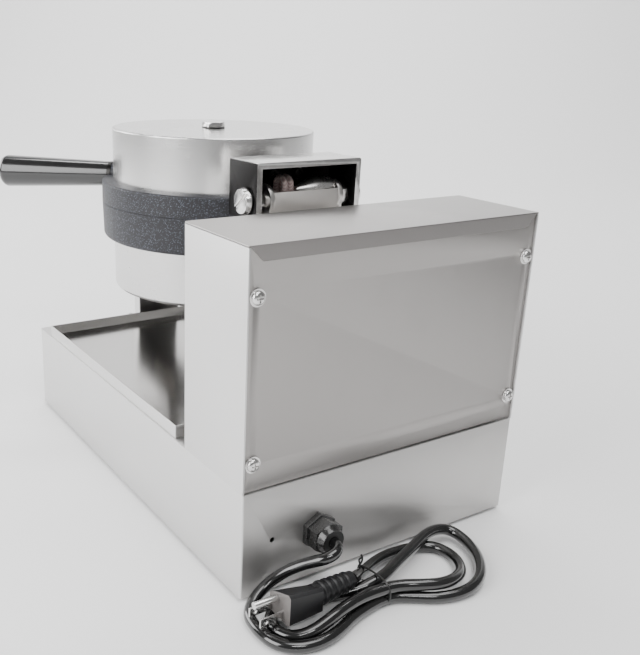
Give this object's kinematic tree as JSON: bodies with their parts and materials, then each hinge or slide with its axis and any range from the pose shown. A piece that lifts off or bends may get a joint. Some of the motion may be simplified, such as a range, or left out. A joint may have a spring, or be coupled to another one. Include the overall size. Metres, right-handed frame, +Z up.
{
  "type": "waffle cone maker",
  "caption": "Sheet-steel waffle cone baker: a round hinged baking head over a slide-out tray, with a rear tower, dials on the front and a tied mains lead.",
  "frame": {"origin": "centre of the machine's footprint on the surface it stands on", "axes": "+Z up, +Y towards the rear where the tower and the lead are, +X to the user's right"},
  "size_m": [0.2779, 0.4877, 0.2912],
  "materials": {
    "base_steel": "brushed",
    "plain_steel": "satin",
    "screws": "bright",
    "feet": "matte",
    "tower_steel": "brushed",
    "lid_steel": "brushed",
    "cover_steel": "brushed",
    "support_steel": "brushed",
    "bracket_steel": "satin",
    "casing_steel": "vertical brushed",
    "coated_iron": "speckled non-stick coating",
    "heater_sheath": "dull",
    "insulation": "mineral wool",
    "copper": "satin",
    "glass_sleeve": "woven",
    "pivot_steel": "bright",
    "lead_insulation": "braided",
    "dark_steel": "dark",
    "nut_chrome": "bright",
    "yoke_steel": "satin",
    "black_grip": "glossy",
    "tray_steel": "mirror",
    "black_plastic": "satin",
    "red_plastic": "glossy",
    "amber_lens": "translucent",
    "white_plastic": "satin",
    "gland_nylon": "moulded nylon",
    "cord_jacket": "glossy jacket",
    "tie_plastic": "coated wire",
    "plug_rubber": "moulded",
    "pin_brass": "nickel-plated"
  },
  "bodies": {
    "base": {"base_shell": "base_steel", "bottom_plate": "plain_steel", "sheet_screws": "screws", "rubber_feet": "feet", "tower_shell": "tower_steel", "tower_lid": "lid_steel", "rear_cover": "cover_steel", "rear_cover_screws": "screws", "rear_cover_washers": "screws", "rear_cover_nuts": "screws", "front_support": "support_steel", "hinge_bracket": "bracket_steel", "hinge_bracket_bolts": "screws", "lower_casing": "casing_steel", "lower_plate": "coated_iron", "lower_heater": "heater_sheath", "lower_insulation": "insulation", "lower_stud": "screws", "lower_nut": "screws", "thermostat_sensor": "copper", "lower_lead_sleeve": "glass_sleeve", "pivot_screws": "pivot_steel", "pivot_jam_nut": "pivot_steel", "hinge_lead_sleeve": "glass_sleeve", "hinge_leads": "lead_insulation", "lead_fitting": "pivot_steel", "thermostat_body": "black_plastic", "timer_body": "black_plastic", "switch_body": "black_plastic", "pilot_lights": "amber_lens", "terminal_block": "white_plastic", "wiring_loom": "lead_insulation", "gland_body": "gland_nylon", "gland_locknut": "gland_nylon", "gland_dome_nut": "gland_nylon", "gland_seal": "feet", "lead_tube": "cord_jacket", "cord_hank": "cord_jacket", "twist_tie": "tie_plastic", "plug_body": "plug_rubber", "plug_pins": "pin_brass"},
    "head_upper": {"upper_plate": "coated_iron", "upper_casing": "casing_steel", "upper_heater": "heater_sheath", "upper_insulation": "insulation", "upper_stud": "screws", "top_washer": "dark_steel", "top_nut": "nut_chrome", "hinge_yoke": "yoke_steel", "yoke_bolts": "dark_steel", "handle_stud": "screws", "handle_ferrule": "dark_steel", "handle_grip": "black_grip"},
    "tray": {"crumb_tray": "tray_steel"},
    "thermostat_dial": {"thermostat_knob": "black_plastic", "thermostat_shaft": "screws"},
    "timer_dial": {"timer_knob": "black_plastic", "timer_shaft": "screws"},
    "switch": {"power_rocker": "red_plastic"}
  },
  "joints": [
    {"name": "head_hinge", "type": "hinge", "parent": "base", "child": "head_upper", "pos_m": [0, 0.066, 0.245], "axis": [-1, 0, 0], "range_deg": [0, 100]},
    {"name": "tray_slide", "type": "slide", "parent": "base", "child": "tray", "axis": [1, 0, 0], "range_m": [0, 0.26]},
    {"name": "thermostat_turn", "type": "hinge", "parent": "base", "child": "thermostat_dial", "pos_m": [0.012, -0.192, 0.043], "axis": [0, 1, 0], "range_deg": [0, 270]},
    {"name": "timer_turn", "type": "hinge", "parent": "base", "child": "timer_dial", "pos_m": [0.078, -0.192, 0.043], "axis": [0, 1, 0], "range_deg": [0, 300]},
    {"name": "switch_rock", "type": "hinge", "parent": "base", "child": "switch", "pos_m": [-0.086, -0.1895, 0.043], "axis": [-1, 0, 0], "range_deg": [0, 18]}
  ]
}
